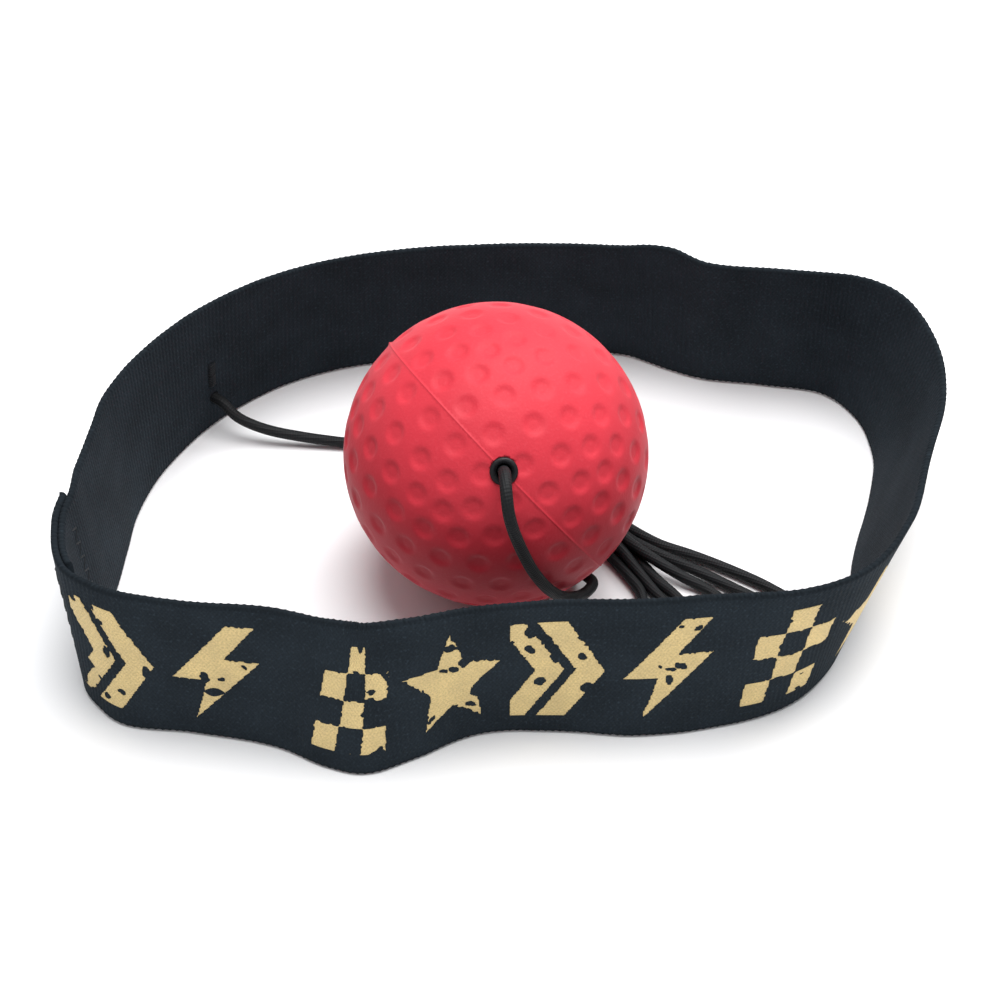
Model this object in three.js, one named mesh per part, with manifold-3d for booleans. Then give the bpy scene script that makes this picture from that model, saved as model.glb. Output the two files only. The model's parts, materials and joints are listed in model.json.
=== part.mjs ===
// Reflex ball headband: an elastic band for the head, with a foam ball tied to it by a long limp cord.
// Millimetres, +Z up. Everything is drawn about the point where the ball touches the surface that the
// object lies on, and the finished group is moved so that its origin is the bottom centre of its box.

import * as THREE from 'three';
import { mergeVertices } from 'three/addons/utils/BufferGeometryUtils.js';
import Module from 'manifold-3d';

const manifold = await Module();
manifold.setup();

// ---- driving dimensions -------------------------------------------------------------------------

const CLEARANCE = 0.3; // the gap between pieces that touch

const LOOP_LENGTH = 175; // the band's bottom edge as it lies, along X
const LOOP_DEPTH = 133; // the same, along Y
const BAND_WIDTH = 38;
const BAND_THICKNESS = 1.5;
const LAP_LENGTH = 20; // how far the band's two ends lie over each other
const LAP_EASE = 8; // over how far each end steps aside for the other

const THREAD_DIAMETER = 0.6;
const ZIGZAG_WIDTH = 3;
const ZIGZAG_PITCH = 2;
const ZIGZAG_EDGE = 3; // from the zigzag's last stitch to the band's edge
const SEAM_INSET = 4.5; // from the end of the lap to the middle of a zigzag

const BALL_DIAMETER = 65;
const BORE_RADIUS = 1.9;
const BORE_DIRECTION = new THREE.Vector3(0.05, -0.8, 0.6).normalize(); // from the centre to the front hole
const GROMMET_HOLE_RADIUS = 1.55;
const GROMMET_WALL = 0.75;
const GROMMET_LENGTH = 6;
const FLANGE_RADIUS = 3;
const FLANGE_THICKNESS = 1;
const FLANGE_SINK = 0.45; // how far the flange is let into the foam

const CORD_DIAMETER = 2.5;
const CORD_STUB = 1.2; // how far the cord stands out of the band's hole and of the front grommet
const CORD_LEAD = 1.8; // how far its free run goes on straight from there
const KNOT_RADIUS = 2.7;
const KNOT_SQUASH = 0.85; // a knot is shorter along its cord than across it
const HANK_HEIGHT = 5;

const ANCHOR_DISTANCE = 67.6; // from the lap back along the loop to the cord's hole
const ANCHOR_HEIGHT = 9.6;
const BARTACK = { length: 7, width: 2.2, thickness: 0.7, above: 3.6 }; // above: from the hole to its near end

// The band's bottom edge on the surface, [x, y], and how far its top edge stands out past it, going
// round from the lap to the front, the right, the back and home again.
const STATIONS = [
  [-85.5, -17.5, 3.2], [-86.3, -25, 3], [-85.4, -37.5, 0.6], [-78.5, -46.4, -2.4],
  [-62, -49.2, -1.3], [-45, -53, -3.6], [-34.5, -58.3, -6.4], [-26.5, -60, -7], [-16.5, -56, -3.8],
  [-4, -49.6, 0], [12, -48.7, -1], [29, -50, -2.6], [45, -47.8, -1.8], [60, -42.6, 2.4],
  [69.5, -33.5, 7], [76, -19.5, 10], [80.6, 1, 12], [86.2, 19, 12], [89, 33, 9],
  [86.6, 47.5, 5], [79, 56.8, -1.8], [65, 60, -3], [50, 62.5, -3.4], [41.5, 66.2, -1.6],
  [32, 71.2, -5.4], [16, 72.4, -5.6], [-4, 71.6, -5.2], [-22, 69.6, -5], [-40, 65.6, -5.2],
  [-55, 58, -4.6], [-69, 44.6, -2.8], [-78.8, 27.6, -0.4], [-82.8, 13, 1.8],
  [-83.4, 3, 2.6], [-84.6, -11, 3.2],
];

// The cord's middle line, by hand: from the band to the hank, and from the hank to the ball. It also runs
// straight out of the band's hole and of the ball's for a short way, and both places come from the holes.
const BAND_RUN = [
  [-61.2, 41, 6.9], [-57.6, 40.2, 5], [-52.9, 39.4, 3.6], [-46.3, 38.7, 2.5], [-40, 38.1, 1.8], [-34, 37.6, 1.4],
  [-28, 38, 1.3], [-20.5, 39.8, 1.3], [-14.3, 41, 1.3],
];
const BALL_RUN = [
  [21.8, 5.2, 1.5], [19.2, 6.3, 1.5], [15.7, 4.8, 1.5], [14.2, 1.3, 1.5], [15.1, -2, 1.6], [17.6, -4.8, 2.2],
  [19.9, -8.4, 3.8], [21, -12.8, 6.4], [19.6, -18.4, 9.6], [17, -23.8, 13.6], [13.7, -28.5, 18.6],
  [10.8, -31.7, 24.2], [8.9, -33.1, 28.4], [7.1, -34, 32.8], [5.6, -34.8, 37.5], [4.3, -35.4, 42],
  [3.2, -35.9, 46.6], [2.5, -35.6, 50.4], [2.1, -33.6, 53.5],
];

// The hank lies past the back of the ball, is pinched together at the ball's side, and fans out from
// there under the front of the band. The back's near side is straight, so that its hull clears the ball.
const HANK_BACK_OUTLINE = [
  [19.5, 7.8], [10.3, 14.4], [-1.9, 23.1], [-11.6, 30.1], [-14.3, 33.5], [-14, 38], [-10.5, 41.8],
  [-3.9, 41.7], [5.7, 35.4], [17.9, 25], [27, 17], [26.5, 13.5],
];
const HANK_FAN_OUTLINE = [
  [22.6, 6.4], [26.4, -3], [30, -14], [30, -26], [33, -32], [38.5, -36], [48, -41], [60, -39.5],
  [68.5, -32], [70.3, -20], [63, -8], [50, 2.5], [38, 9.5], [30, 13.6],
];

// ---- shared tools -------------------------------------------------------------------------------

const UP = new THREE.Vector3(0, 0, 1);

const material = (color, roughness) => new THREE.MeshStandardMaterial({ color, roughness, metalness: 0 });
const WEBBING = material(0x1c2127, 0.9);
const THREAD = material(0x15181c, 0.7);
const FOAM = material(0xd8283c, 0.5);
const RUBBER = material(0x121315, 0.45);
const CORD = material(0x17191c, 0.75);

function named(name, geometry, look) {
  const mesh = new THREE.Mesh(geometry, look);
  mesh.name = name;
  return mesh;
}

function pointsOf(list) {
  return list.map(([x, y, z]) => new THREE.Vector3(x, y, z));
}

// A geometry with only its positions, and one vertex where several lie together.
function welded(geometry) {
  const bare = geometry.clone();
  for (const key of Object.keys(bare.attributes)) {
    if (key !== 'position') bare.deleteAttribute(key);
  }
  return mergeVertices(bare, 1e-4);
}

function solidOf(geometry) {
  const { attributes, index } = welded(geometry);
  return new manifold.Manifold(new manifold.Mesh({
    numProp: 3,
    vertProperties: new Float32Array(attributes.position.array),
    triVerts: new Uint32Array(index.array),
  }));
}

function geometryOf(solid) {
  const { vertProperties, triVerts } = solid.getMesh();
  const geometry = new THREE.BufferGeometry();
  geometry.setAttribute('position', new THREE.BufferAttribute(new Float32Array(vertProperties), 3));
  geometry.setIndex(new THREE.BufferAttribute(new Uint32Array(triVerts), 1));
  geometry.computeVertexNormals();
  return geometry;
}

// A round bar from one height to another on the Y axis.
function bar(radius, from, to, sides = 24) {
  return new THREE.CylinderGeometry(radius, radius, to - from, sides).translate(0, (from + to) / 2, 0);
}

// A round tube along a curve.
function tube(curve, diameter, steps, sides) {
  const section = new THREE.Shape();
  for (let i = 0; i < sides; i++) {
    const angle = (2 * Math.PI * (i + 0.5)) / sides;
    const [x, y] = [(diameter / 2) * Math.cos(angle), (diameter / 2) * Math.sin(angle)];
    if (i === 0) section.moveTo(x, y);
    else section.lineTo(x, y);
  }
  section.closePath();
  return new THREE.ExtrudeGeometry(section, { steps, extrudePath: curve, bevelEnabled: false });
}

const smoothstep = (value) => THREE.MathUtils.smoothstep(value, 0, 1);

// ---- the band's loop ----------------------------------------------------------------------------

// The stations give the loop's shape, and it is stretched to its length and depth.
function loopCurve() {
  const drawn = new THREE.CatmullRomCurve3(pointsOf(STATIONS), true, 'centripetal');
  const box = new THREE.Box3().setFromPoints(drawn.getPoints(2000));
  const size = box.getSize(new THREE.Vector3());
  const stretch = new THREE.Vector3(LOOP_LENGTH / size.x, LOOP_DEPTH / size.y, 1);
  const fitted = pointsOf(STATIONS).map((point) => point.multiply(stretch));
  const curve = new THREE.CatmullRomCurve3(fitted, true, 'centripetal');
  curve.arcLengthDivisions = 2000;
  return curve;
}

const LOOP = loopCurve();
const LOOP_STEPS = 128;
const PERIMETER = LOOP.getLength();
const STEP = PERIMETER / LOOP_STEPS;
const LAP_STEPS = Math.round(LAP_LENGTH / STEP);
const LAP = LAP_STEPS * STEP;
const LAYER_OFFSET = (BAND_THICKNESS + CLEARANCE) / 2;

// The place on the band at a distance round the loop: its bottom edge, the way out, and its top edge.
function station(distance) {
  const share = THREE.MathUtils.euclideanModulo(distance / PERIMETER, 1);
  const point = LOOP.getPointAt(share);
  const tangent = LOOP.getTangentAt(share).setZ(0).normalize();
  const out = new THREE.Vector3(tangent.y, -tangent.x, 0);
  const lean = point.z;
  const rise = Math.sqrt(BAND_WIDTH ** 2 - lean ** 2);
  return { bottom: point.setZ(0), out, along: tangent, slope: out.clone().multiplyScalar(lean).add(UP.clone().multiplyScalar(rise)) };
}

// A point on the band: the distance round, the share of its width, and how far out of its middle.
function onBand(distance, share, outwards) {
  const { bottom, out, slope } = station(distance);
  return bottom.addScaledVector(slope, share).addScaledVector(out, outwards);
}

// The outer end starts outside the inner one, and each steps back to the middle past the lap.
function layerOffset(distance) {
  const outer = 1 - smoothstep((distance - LAP) / LAP_EASE);
  const inner = smoothstep((distance - (PERIMETER - LAP_EASE)) / LAP_EASE);
  return LAYER_OFFSET * (outer - inner);
}

function headbandStrip() {
  const length = PERIMETER + LAP;
  const strip = new THREE.BoxGeometry(length, BAND_THICKNESS, 1, LOOP_STEPS + LAP_STEPS, 1, 1);
  const position = strip.getAttribute('position');
  for (let i = 0; i < position.count; i++) {
    const distance = position.getX(i) + length / 2;
    const outwards = layerOffset(distance) - position.getY(i);
    const point = onBand(distance, position.getZ(i) + 0.5, outwards);
    position.setXYZ(i, point.x, point.y, point.z);
  }
  const hole = bar(CORD_DIAMETER / 2 + CLEARANCE, -4 * BAND_THICKNESS, 4 * BAND_THICKNESS, 16);
  hole.applyMatrix4(anchorFrame());
  return geometryOf(solidOf(strip).subtract(solidOf(hole)));
}

// ---- the lap seam -------------------------------------------------------------------------------

// One row of zigzag stitches up the band, on its outer face (side 1) or its inner one (side -1).
function zigzag(distance, side) {
  const stand = LAYER_OFFSET + BAND_THICKNESS / 2 + CLEARANCE + THREAD_DIAMETER / 2;
  const count = Math.floor((BAND_WIDTH - 2 * ZIGZAG_EDGE) / ZIGZAG_PITCH);
  const points = [];
  for (let i = 0; i <= count; i++) {
    const height = ZIGZAG_EDGE + i * ZIGZAG_PITCH;
    const aside = ((i % 2) - 0.5) * ZIGZAG_WIDTH;
    points.push(onBand(distance + aside, height / BAND_WIDTH, side * stand));
  }
  return tube(new THREE.CatmullRomCurve3(points, false, 'centripetal'), THREAD_DIAMETER, 2 * count, 6);
}

// ---- the cord's anchor in the band --------------------------------------------------------------

// Local +Y points out of the band through the hole, and local +Z up the band.
function anchorFrame() {
  const distance = PERIMETER - ANCHOR_DISTANCE;
  const { out, along, slope } = station(distance);
  const up = slope.clone().normalize();
  const outwards = new THREE.Vector3().crossVectors(up, along).normalize();
  if (outwards.dot(out) < 0) outwards.negate();
  const side = new THREE.Vector3().crossVectors(outwards, up);
  return new THREE.Matrix4()
    .makeBasis(side, outwards, up)
    .setPosition(onBand(distance, ANCHOR_HEIGHT / BAND_WIDTH, 0));
}

function knot() {
  return new THREE.SphereGeometry(KNOT_RADIUS, 16, 10).scale(1, KNOT_SQUASH, 1);
}

function anchorKnot() {
  const stand = BAND_THICKNESS / 2 + CLEARANCE + KNOT_RADIUS * KNOT_SQUASH;
  return knot().translate(0, stand, 0).applyMatrix4(anchorFrame());
}

function anchorBartack() {
  const { length, width, thickness, above } = BARTACK;
  const stand = -(BAND_THICKNESS / 2 + CLEARANCE + thickness / 2);
  return new THREE.BoxGeometry(width, thickness, length)
    .translate(0, stand, above + length / 2)
    .applyMatrix4(anchorFrame());
}

// The short piece of cord in the band's hole, between the knot and the free run.
const STUB_END = BAND_THICKNESS / 2 + CLEARANCE + CORD_STUB;

function cordInBand() {
  return bar(CORD_DIAMETER / 2, -STUB_END, BAND_THICKNESS / 2, 8).applyMatrix4(anchorFrame());
}

// ---- the ball -----------------------------------------------------------------------------------

const BALL_RADIUS = BALL_DIAMETER / 2;
const FLANGE_SEAT = BALL_RADIUS - FLANGE_SINK; // the flange's inner face, from the ball's centre
const GROMMET_FACE = FLANGE_SEAT + FLANGE_THICKNESS;

// Local +Y is the bore, towards the front hole.
function foamBall() {
  let ball = solidOf(new THREE.SphereGeometry(BALL_RADIUS, 48, 32));
  const sleeve = GROMMET_HOLE_RADIUS + GROMMET_WALL + CLEARANCE;
  ball = ball.subtract(solidOf(bar(BORE_RADIUS, -BALL_RADIUS, BALL_RADIUS)));
  for (const side of [1, -1]) {
    const depths = [[sleeve, FLANGE_SEAT - GROMMET_LENGTH], [FLANGE_RADIUS + CLEARANCE, FLANGE_SEAT]];
    for (const [radius, depth] of depths) {
      const pocket = bar(radius, depth - CLEARANCE, BALL_RADIUS + FLANGE_THICKNESS);
      if (side < 0) pocket.rotateX(Math.PI);
      ball = ball.subtract(solidOf(pocket));
    }
  }
  return geometryOf(ball);
}

function grommet(side) {
  const outer = GROMMET_HOLE_RADIUS + GROMMET_WALL;
  const face = GROMMET_FACE;
  const edge = 0.3;
  const profile = [
    [GROMMET_HOLE_RADIUS, FLANGE_SEAT - GROMMET_LENGTH], [outer, FLANGE_SEAT - GROMMET_LENGTH],
    [outer, FLANGE_SEAT], [FLANGE_RADIUS, FLANGE_SEAT], [FLANGE_RADIUS, face - edge],
    [FLANGE_RADIUS - edge, face], [GROMMET_HOLE_RADIUS, face], [GROMMET_HOLE_RADIUS, FLANGE_SEAT - GROMMET_LENGTH],
  ].map(([x, y]) => new THREE.Vector2(x, y));
  const ring = new THREE.LatheGeometry(profile, 24);
  if (side < 0) ring.rotateX(Math.PI);
  return ring;
}

function cordInBall() {
  return bar(CORD_DIAMETER / 2, -GROMMET_FACE, GROMMET_FACE + CORD_STUB, 8);
}

function endKnot() {
  const stand = GROMMET_FACE + CLEARANCE + KNOT_RADIUS * KNOT_SQUASH;
  return knot().translate(0, -stand, 0);
}

// ---- the free cord ------------------------------------------------------------------------------

function cordRun(points, steps) {
  return tube(new THREE.CatmullRomCurve3(points, false, 'centripetal'), CORD_DIAMETER, steps, 8);
}

// The points where a free run leaves the end of a stub, going out along the stub's axis.
function leadPoints(end, direction) {
  return [CLEARANCE, CLEARANCE + CORD_LEAD].map((along) => end.clone().addScaledVector(direction, along));
}

function bandRun() {
  const frame = anchorFrame();
  const end = new THREE.Vector3(0, -STUB_END, 0).applyMatrix4(frame);
  const inwards = new THREE.Vector3(0, -1, 0).transformDirection(frame);
  return cordRun([...leadPoints(end, inwards), ...pointsOf(BAND_RUN)], 20);
}

function ballRun() {
  const end = new THREE.Vector3(0, 0, BALL_RADIUS).addScaledVector(BORE_DIRECTION, GROMMET_FACE + CORD_STUB);
  return cordRun([...pointsOf(BALL_RUN), ...leadPoints(end, BORE_DIRECTION).reverse()], 40);
}

function hank(outline) {
  const edge = new THREE.CatmullRomCurve3(outline.map(([x, y]) => new THREE.Vector3(x, y, 0)), true, 'centripetal');
  const corners = edge.getSpacedPoints(48).slice(0, -1).map(({ x, y }) => new THREE.Vector2(x, y));
  return new THREE.ExtrudeGeometry(new THREE.Shape(corners), { depth: HANK_HEIGHT, bevelEnabled: false });
}

// ---- the assembly -------------------------------------------------------------------------------

const ball = new THREE.Group();
ball.position.set(0, 0, BALL_RADIUS);
ball.quaternion.setFromUnitVectors(new THREE.Vector3(0, 1, 0), BORE_DIRECTION);
ball.add(
  named('foam_ball', foamBall(), FOAM),
  named('front_grommet', grommet(1), RUBBER),
  named('rear_grommet', grommet(-1), RUBBER),
);

const cordEnd = new THREE.Group();
cordEnd.position.copy(ball.position);
cordEnd.quaternion.copy(ball.quaternion);
cordEnd.add(named('cord_in_ball', cordInBall(), CORD), named('end_knot', endKnot(), CORD));

const headband = new THREE.Group();
headband.add(
  named('headband_strip', headbandStrip(), WEBBING),
  named('lap_needle_thread_1', zigzag(SEAM_INSET, 1), THREAD),
  named('lap_needle_thread_2', zigzag(LAP - SEAM_INSET, 1), THREAD),
  named('lap_bobbin_thread_1', zigzag(SEAM_INSET, -1), THREAD),
  named('lap_bobbin_thread_2', zigzag(LAP - SEAM_INSET, -1), THREAD),
  named('anchor_bartack', anchorBartack(), THREAD),
);

const cord = new THREE.Group();
cord.add(
  named('anchor_knot', anchorKnot(), CORD),
  named('cord_in_band', cordInBand(), CORD),
  named('cord_band_run', bandRun(), CORD),
  named('cord_hank_back', hank(HANK_BACK_OUTLINE), CORD),
  named('cord_hank_fan', hank(HANK_FAN_OUTLINE), CORD),
  named('cord_ball_run', ballRun(), CORD),
);

// The origin is the bottom centre of the box of everything but the free cord.
const object = new THREE.Group();
object.add(headband, ball, cordEnd);
object.updateMatrixWorld(true);
const centre = new THREE.Box3().setFromObject(object, true).getCenter(new THREE.Vector3());
object.add(cord);
object.position.set(-centre.x, -centre.y, 0);

export default object;
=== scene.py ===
"""Reflex ball headband: a printed elastic band for the head and a dimpled foam ball on a long limp cord.

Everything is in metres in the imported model's frame. Lengths in the lists of points are millimetres from
the point where the ball touches the surface that the object lies on.
"""

import json
import math
import random
from bisect import bisect_right

import bmesh
import bpy
from mathutils import Matrix, Vector, kdtree, noise


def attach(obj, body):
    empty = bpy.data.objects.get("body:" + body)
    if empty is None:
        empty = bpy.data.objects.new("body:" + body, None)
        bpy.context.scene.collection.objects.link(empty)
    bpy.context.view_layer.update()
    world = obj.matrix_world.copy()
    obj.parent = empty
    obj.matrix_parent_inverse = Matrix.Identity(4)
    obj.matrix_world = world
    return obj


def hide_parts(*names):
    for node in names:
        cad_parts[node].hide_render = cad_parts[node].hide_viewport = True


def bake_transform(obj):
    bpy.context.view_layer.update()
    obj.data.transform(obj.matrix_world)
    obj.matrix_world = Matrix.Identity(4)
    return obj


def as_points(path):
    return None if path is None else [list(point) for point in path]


bl_info = {
    "name": "Reflex ball headband",
    "version": (1, 0, 0),
    "blender": (4, 5, 0),
    "location": "View3D > Sidebar > Reflex ball",
    "description": "Builds the looks of a reflex ball headband around its packed frame",
    "category": "Add Mesh",
}

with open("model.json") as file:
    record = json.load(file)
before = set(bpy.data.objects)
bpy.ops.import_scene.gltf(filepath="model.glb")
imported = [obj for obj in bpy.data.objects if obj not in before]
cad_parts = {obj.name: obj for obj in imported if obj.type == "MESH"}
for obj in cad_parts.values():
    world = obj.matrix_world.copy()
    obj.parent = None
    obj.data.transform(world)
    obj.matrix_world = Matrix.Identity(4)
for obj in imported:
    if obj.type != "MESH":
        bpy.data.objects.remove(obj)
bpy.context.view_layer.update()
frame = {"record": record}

MM = 0.001
UP = Vector((0, 0, 1))

SWIVEL = next(j for j in frame["record"]["behaviour"]["joints"] if j["name"] == "ball_swivel")
BALL_CENTRE = Vector(SWIVEL["pos_m"])
BORE = Vector(SWIVEL["axis"]).normalized()
BALL_RADIUS = BALL_CENTRE.z
CONTACT = Vector((BALL_CENTRE.x, BALL_CENTRE.y, 0))

# The band's bottom edge on the surface, x and y, and how far its top edge stands out past it, going
# round from the lap to the front, the right, the back and home again.
STATIONS = [
    (-85.5, -17.5, 3.2), (-86.3, -25, 3), (-85.4, -37.5, 0.6), (-78.5, -46.4, -2.4),
    (-62, -49.2, -1.3), (-45, -53, -3.6), (-34.5, -58.3, -6.4), (-26.5, -60, -7), (-16.5, -56, -3.8),
    (-4, -49.6, 0), (12, -48.7, -1), (29, -50, -2.6), (45, -47.8, -1.8), (60, -42.6, 2.4),
    (69.5, -33.5, 7), (76, -19.5, 10), (80.6, 1, 12), (86.2, 19, 12), (89, 33, 9),
    (86.6, 47.5, 5), (79, 56.8, -1.8), (65, 60, -3), (50, 62.5, -3.4), (41.5, 66.2, -1.6),
    (32, 71.2, -5.4), (16, 72.4, -5.6), (-4, 71.6, -5.2), (-22, 69.6, -5), (-40, 65.6, -5.2),
    (-55, 58, -4.6), (-69, 44.6, -2.8), (-78.8, 27.6, -0.4), (-82.8, 13, 1.8),
    (-83.4, 3, 2.6), (-84.6, -11, 3.2),
]

# The cord's route from the band to the ball. A point with no height lies on the surface.
LYING_HEIGHT = 1.3
BAND_RUN = [
    (-61.2, 41, 6.9), (-57.6, 40.2, 5), (-52.9, 39.4, 3.6), (-46.3, 38.7, 2.5), (-40, 38.1, 1.8),
    (-34, 37.6, 1.4), (-28, 38), (-20.5, 39.8),
]
HANK_RUN = [
    # along the outside of the hank, and the widest turn of the fan
    (-12.6, 41.4), (-4.2, 40.6), (2.4, 36.2), (9.1, 30), (16.6, 23.9),
    (21.9, 18.7), (25.6, 14.5), (28.6, 10.7), (32, 7.5), (37, 3.8),
    (43.5, 0.7), (51.9, -4), (60.1, -9.5), (66.2, -15.5), (68.3, -23),
    (66, -31), (59.5, -37), (52, -37.2), (47.5, -31), (45, -23.5),
    # back through the pinch, and the short turn that lies on the rest
    (42, -16.5), (39.2, -11.9), (35.5, -7.1), (32.4, -2.2), (29.2, 2.5, 1.6),
    (25.9, 6.7), (22.4, 10.6), (16.6, 14.8), (10.9, 19, 1.4), (6.4, 21.4, 2.8),
    (1.6, 22.7, 3.8), (-1.8, 26.9, 3.8), (-0.9, 31, 3.8), (3.2, 32.9, 3.8), (7.6, 31.2, 3.8),
    # the second turn of the fan
    (11.2, 26.4, 3.8), (14.7, 20.9, 3.8), (18.7, 16, 3.8), (23, 11.4, 3.9), (26.2, 6.7, 4),
    (29.6, 1.8, 4.3), (34.4, -2.6, 3.8), (40.6, -6.7, 2.4), (46.6, -10.3), (50.2, -14.6),
    (51.2, -20.6), (54.5, -25.7), (60, -26.2), (63, -21.2), (60.1, -15.6),
    # back through the pinch, and the long turn at the hank's end
    (52.2, -9.6), (43.4, -4, 1.8), (35.6, 0.6, 2.1), (30.2, 4.9, 1.9), (27.4, 8.8, 1.4),
    (24.1, 13), (19.8, 17.3), (13.8, 22.7), (5.9, 28.9), (0, 33.8),
    (-4.5, 37.5), (-8.5, 38.5), (-12.2, 36.3), (-12.8, 32.3), (-9.8, 28.8),
    # the third turn of the fan
    (-5.2, 26), (1.2, 21.6), (9.3, 15.9), (15.7, 11.6), (20.9, 8.9, 2.6),
    (24.4, 4.8, 3.3), (27.7, 0.6, 3.3), (31, -4.7, 2.2), (34.7, -10.6), (37.6, -15),
    (40.2, -19.6), (41.4, -24.8), (38.4, -29.3), (33.3, -28.7), (31, -23.7),
    (31.9, -17.4), (31.8, -11.2), (29.2, -5.7), (26.8, -1.6), (24.4, 1.9, 1.4),
]
BALL_RUN = [
    (21.8, 5.2, 1.5), (19.2, 6.3, 1.5), (15.7, 4.8, 1.5), (14.2, 1.3, 1.5), (15.1, -2, 1.6),
    (17.6, -4.8, 2.2), (19.9, -8.4, 3.8), (21, -12.8, 6.4), (19.6, -18.4, 9.6), (17, -23.8, 13.6),
    (13.7, -28.5, 18.6), (10.8, -31.7, 24.2), (8.9, -33.1, 28.4), (7.1, -34, 32.8),
    (5.6, -34.8, 37.5), (4.3, -35.4, 42), (3.2, -35.9, 46.6), (2.5, -35.6, 50.4), (2.1, -33.6, 53.5),
]


# ---- settings -----------------------------------------------------------------------------------


def length_setting(name, description, millimetres):
    return bpy.props.FloatProperty(
        name=name, description=description, default=millimetres * MM, min=0, unit="LENGTH", precision=5
    )


def colour_setting(name, description, colour):
    return bpy.props.FloatVectorProperty(
        name=name, description=description, default=colour, size=3, min=0, max=1, subtype="COLOR"
    )


def power_setting(name, description, watts):
    return bpy.props.FloatProperty(name=name, description=description, default=watts, min=0, unit="POWER")


class BandSettings(bpy.types.PropertyGroup):
    loop_length: length_setting("Loop length", "The bottom edge as it lies, along X", 175)
    loop_depth: length_setting("Loop depth", "The bottom edge as it lies, along Y", 133)
    width: length_setting("Width", "Width of the elastic", 38)
    thickness: length_setting("Thickness", "Thickness of the elastic", 1.5)
    lap: length_setting("Lap", "How far the two ends lie over each other", 20.3)
    lap_ease: length_setting("Lap ease", "Over how far each end steps aside for the other", 8)
    clearance: length_setting("Clearance", "The gap between the two layers of the lap", 0.04)
    selvedge_pitch: length_setting("Selvedge pitch", "From one loop of the edge to the next", 1.5)
    selvedge_depth: length_setting("Selvedge depth", "How far the edge dips between its loops", 0.26)
    seam_inset: length_setting("Seam inset", "From the end of the lap to the middle of a zigzag", 4.5)
    zigzag_width: length_setting("Zigzag width", "Width of a row of stitches", 3)
    zigzag_pitch: length_setting("Zigzag pitch", "Up the band from one stitch to the next", 2)
    thread: length_setting("Thread", "Diameter of the sewing thread", 0.5)
    print_height: length_setting("Print height", "Height of the printed figures", 27.5)
    print_from: length_setting("Print from", "From the bottom edge to the print", 5.3)
    webbing_colour: colour_setting("Webbing", "Colour of the elastic", (0.0145, 0.0205, 0.0265))
    thread_colour: colour_setting("Thread", "Colour of the sewing thread", (0.0085, 0.012, 0.0155))
    print_colour: colour_setting("Print", "Colour of the printed figures", (0.745, 0.56, 0.25))


class CordSettings(bpy.types.PropertyGroup):
    diameter: length_setting("Diameter", "Diameter of the braided cord", 2.5)
    braid_pitch: length_setting("Braid pitch", "Along the cord from one strand to the next", 1.1)
    colour: colour_setting("Colour", "Colour of the cord", (0.0068, 0.0078, 0.009))


class BallSettings(bpy.types.PropertyGroup):
    dimple_width: length_setting("Dimple width", "Width of a dimple", 5.4)
    dimple_depth: length_setting("Dimple depth", "Depth of a dimple", 0.46)
    ridge_height: length_setting("Ridge height", "Height of the moulding line", 0.14)
    ridge_width: length_setting("Ridge width", "Width of the moulding line", 0.52)
    grommet_radius: length_setting("Grommet radius", "Outer radius of the grommet's flange", 2.85)
    colour: colour_setting("Foam", "Colour of the foam", (0.55, 0.026, 0.043))
    grommet_colour: colour_setting("Grommet", "Colour of the grommets", (0.004, 0.004, 0.005))


class StageSettings(bpy.types.PropertyGroup):
    floor_colour: colour_setting("Floor", "Colour of the floor", (0.86, 0.86, 0.87))
    key_power: power_setting("Key light", "Power of the large light overhead", 17)
    side_power: power_setting("Side light", "Power of the light from the back right", 4.5)
    surround: bpy.props.FloatProperty(
        name="Surround", description="Strength of the light from all round", default=0.55, min=0
    )


# ---- smooth lines -------------------------------------------------------------------------------


class SmoothLine:
    """A centripetal Catmull-Rom line through points, read by the distance along it."""

    def __init__(self, points, closed=False, steps=40):
        points = [Vector(p) for p in points]
        count = len(points)
        spans = count if closed else count - 1
        ahead = points if closed else [2 * points[0] - points[1], *points, 2 * points[-1] - points[-2]]
        offset = 0 if closed else 1
        self.closed = closed
        self.points = []
        for span in range(spans):
            corners = [ahead[(span + offset + k) % len(ahead)] for k in (-1, 0, 1, 2)]
            self.points += self.span(corners, steps)
        self.points.append(points[0] if closed else points[-1])
        self.marks = [0.0]
        for a, b in zip(self.points, self.points[1:]):
            self.marks.append(self.marks[-1] + (b - a).length)
        self.length = self.marks[-1]

    @staticmethod
    def span(corners, steps):
        a, b, c, d = corners
        before, within, after = ((q - p).length ** 0.5 for p, q in ((a, b), (b, c), (c, d)))
        leave = ((b - a) / before - (c - a) / (before + within) + (c - b) / within) * within
        arrive = ((c - b) / within - (d - b) / (within + after) + (d - c) / after) * within
        made = []
        for step in range(steps):
            t = step / steps
            made.append(
                b * (2 * t**3 - 3 * t**2 + 1)
                + leave * (t**3 - 2 * t**2 + t)
                + c * (3 * t**2 - 2 * t**3)
                + arrive * (t**3 - t**2)
            )
        return made

    def at(self, distance):
        if self.closed:
            distance %= self.length
        distance = min(max(distance, 0), self.length)
        index = min(bisect_right(self.marks, distance), len(self.marks) - 1)
        before, after = self.marks[index - 1], self.marks[index]
        share = (distance - before) / (after - before)
        return self.points[index - 1].lerp(self.points[index], share)

    def tangent(self, distance, reach=0.0004):
        low, high = distance - reach, distance + reach
        if not self.closed:
            low, high = max(low, 0), min(high, self.length)
        return (self.at(high) - self.at(low)).normalized()


def smoothstep(value):
    value = min(max(value, 0), 1)
    return value * value * (3 - 2 * value)


def placed(points):
    return [CONTACT + Vector((*p, LYING_HEIGHT)[:3]) * MM for p in points]


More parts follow.
